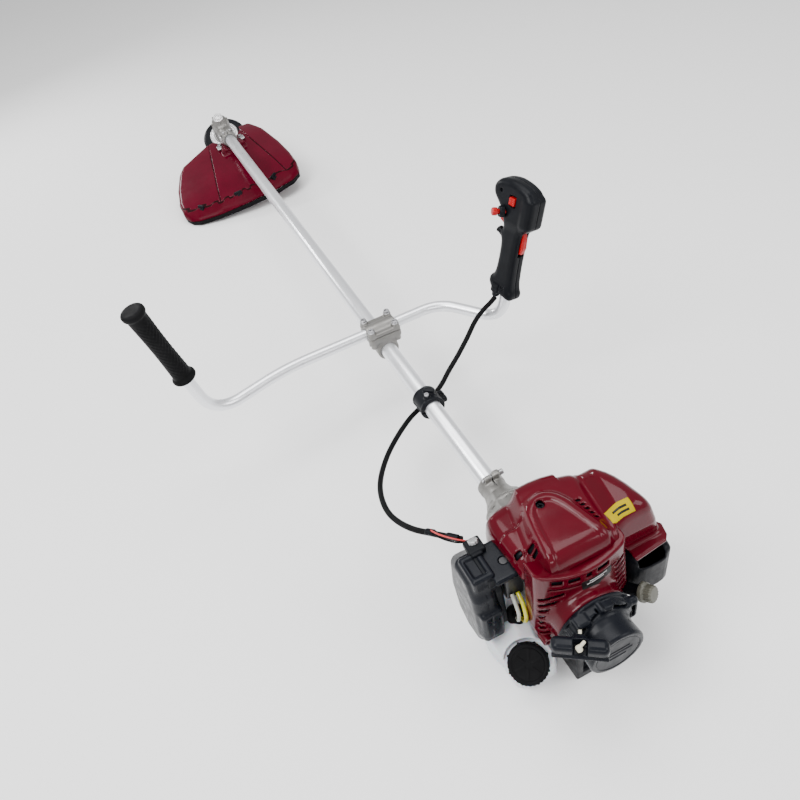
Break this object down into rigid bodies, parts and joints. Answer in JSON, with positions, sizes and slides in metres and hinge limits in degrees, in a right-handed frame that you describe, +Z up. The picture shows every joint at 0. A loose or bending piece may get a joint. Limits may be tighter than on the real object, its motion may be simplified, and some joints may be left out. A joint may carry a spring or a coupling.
{
  "type": "brush cutter",
  "caption": "Straight-shaft four-stroke brush cutter with bull-horn handlebar, trigger handle, line-cutting head and moulded guard.",
  "frame": {"origin": "on the ground under the middle of the engine stand, below the drive shaft's axis", "axes": "+Y forward along the drive shaft to the cutting head, +X to the operator's right, +Z up"},
  "size_m": [0.6288, 1.8733, 0.3923],
  "materials": {
    "red_plastic": "glossy",
    "tube_aluminium": "satin anodised",
    "bright_steel": "bright zinc",
    "cast_alloy": "die cast, fine grain",
    "machined_steel": "machined",
    "black_plastic": "fine moulded grain",
    "black_rubber": "matt",
    "signal_red": "glossy",
    "tank_plastic": "translucent, satin",
    "olive_plastic": "fine moulded grain",
    "fuel_line": "clear, tinted"
  },
  "bodies": {
    "machine": {"top_cover": "red_plastic", "fan_cover": "red_plastic", "guard_panel": "red_plastic", "shaft_tube": "tube_aluminium", "handlebar_tube": "tube_aluminium", "guard_bracket": "bright_steel", "clutch_housing": "cast_alloy", "crankcase": "cast_alloy", "cylinder_block": "cast_alloy", "carburettor": "cast_alloy", "gear_case": "cast_alloy", "handlebar_clamp_base": "cast_alloy", "handlebar_clamp_cap": "cast_alloy", "oil_filler_neck": "cast_alloy", "muffler": "machined_steel", "clamp_bolt_1": "machined_steel", "clamp_bolt_2": "machined_steel", "clamp_bolt_3": "machined_steel", "clamp_bolt_4": "machined_steel", "guard_bolt_1": "machined_steel", "guard_bolt_2": "machined_steel", "recoil_housing": "black_plastic", "engine_stand": "black_plastic", "air_cleaner_base": "black_plastic", "air_cleaner_cover": "black_plastic", "muffler_guard": "black_plastic", "strap_clamp": "black_plastic", "throttle_case_inner": "black_plastic", "throttle_case_outer": "black_plastic", "shaft_bush_1": "black_rubber", "shaft_bush_2": "black_rubber", "left_grip": "black_rubber", "throttle_cable": "black_rubber", "guard_skirt": "black_rubber", "fuel_tank": "tank_plastic", "fuel_hose_return": "tank_plastic", "fuel_hose_feed": "fuel_line"},
    "crank_train": {"crankshaft": "machined_steel", "flywheel_fan": "machined_steel", "clutch_shoes": "machined_steel"},
    "piston": {"piston": "cast_alloy"},
    "drive_line": {"drive_shaft": "machined_steel", "clutch_drum": "machined_steel", "bevel_pinion": "machined_steel"},
    "cutter": {"bevel_gear": "machined_steel", "output_shaft": "machined_steel", "cutter_flange": "bright_steel", "spool_housing": "black_plastic"},
    "bump_knob": {"bump_knob": "black_rubber"},
    "starter_reel": {"starter_pulley": "black_plastic"},
    "starter_handle": {"starter_grip": "black_plastic"},
    "trigger": {"throttle_trigger": "signal_red"},
    "lockout": {"lockout_lever": "signal_red"},
    "stop_slider": {"stop_switch": "signal_red"},
    "hold_knob": {"hold_button": "signal_red"},
    "throttle_arm": {"throttle_arm": "machined_steel"},
    "choke": {"choke_lever": "black_plastic"},
    "primer": {"primer_bulb": "black_rubber"},
    "fuel_cap": {"fuel_cap": "black_rubber"},
    "oil_cap": {"oil_cap": "olive_plastic"}
  },
  "joints": [
    {"name": "crank_spin", "type": "hinge", "parent": "machine", "child": "crank_train", "pos_m": [0, 0, 0.128], "axis": [0, 1, 0], "continuous": true},
    {"name": "piston_stroke", "type": "slide", "parent": "machine", "child": "piston", "axis": [0, 0, 1], "range_m": [-0.026, 0]},
    {"name": "drive_spin", "type": "hinge", "parent": "machine", "child": "drive_line", "pos_m": [0, 0.224, 0.128], "axis": [0, 1, 0], "continuous": true},
    {"name": "cutter_spin", "type": "hinge", "parent": "machine", "child": "cutter", "pos_m": [0, 1.714, 0.128], "axis": [0.0905, 0.5, -0.8613], "continuous": true},
    {"name": "bump_travel", "type": "slide", "parent": "cutter", "child": "bump_knob", "axis": [-0.0905, -0.5, 0.8613], "range_m": [0, 0.006], "stiffness_N_per_m": 2000},
    {"name": "starter_pull", "type": "slide", "parent": "machine", "child": "starter_handle", "axis": [-0.5736, -0.8192, 0], "range_m": [0, 0.55], "stiffness_N_per_m": 20, "springref_m": -0.3},
    {"name": "starter_reel_spin", "type": "hinge", "parent": "machine", "child": "starter_reel", "pos_m": [0, -0.028, 0.128], "axis": [0, 1, 0], "range_deg": [-1300, 0]},
    {"name": "trigger_squeeze", "type": "hinge", "parent": "machine", "child": "trigger", "pos_m": [0.2254, 0.4864, 0.3116], "axis": [0.9482, 0.1984, -0.2481], "range_deg": [0, 18], "stiffness_Nm_per_rad": 0.3},
    {"name": "lockout_press", "type": "hinge", "parent": "machine", "child": "lockout", "pos_m": [0.2246, 0.5122, 0.3284], "axis": [-0.9482, -0.1984, 0.2481], "range_deg": [0, 12], "stiffness_Nm_per_rad": 0.2},
    {"name": "stop_slide", "type": "slide", "parent": "machine", "child": "stop_slider", "axis": [0.2531, 0, 0.9674], "range_m": [-0.0025, 0.0025]},
    {"name": "hold_press", "type": "slide", "parent": "machine", "child": "hold_knob", "axis": [0.9329, -0.265, -0.244], "range_m": [0, 0.003], "stiffness_N_per_m": 400},
    {"name": "throttle_arm_turn", "type": "hinge", "parent": "machine", "child": "throttle_arm", "pos_m": [-0.064, 0.073, 0.182], "axis": [0, 0, -1], "range_deg": [0, 45]},
    {"name": "choke_turn", "type": "hinge", "parent": "machine", "child": "choke", "pos_m": [-0.0925, 0.066, 0.188], "axis": [0, 0, -1], "range_deg": [0, 40]},
    {"name": "primer_press", "type": "slide", "parent": "machine", "child": "primer", "axis": [0, 0, 1], "range_m": [0, 0.004], "stiffness_N_per_m": 500},
    {"name": "fuel_cap_turn", "type": "hinge", "parent": "machine", "child": "fuel_cap", "pos_m": [-0.08, 0, 0.06], "axis": [-0.2504, -0.4608, 0.8515], "range_deg": [0, 330]},
    {"name": "oil_cap_turn", "type": "hinge", "parent": "machine", "child": "oil_cap", "pos_m": [0.048, 0.046, 0.084], "axis": [0.4199, -0.8098, 0.4099], "range_deg": [0, 330]}
  ],
  "couplings": [
    {"joint": "drive_spin", "follows": "cutter_spin", "ratio": -1.4},
    {"joint": "starter_reel_spin", "follows": "starter_pull", "rad_per_m": -40},
    {"joint": "throttle_arm_turn", "follows": "trigger_squeeze", "ratio": 2.5}
  ]
}
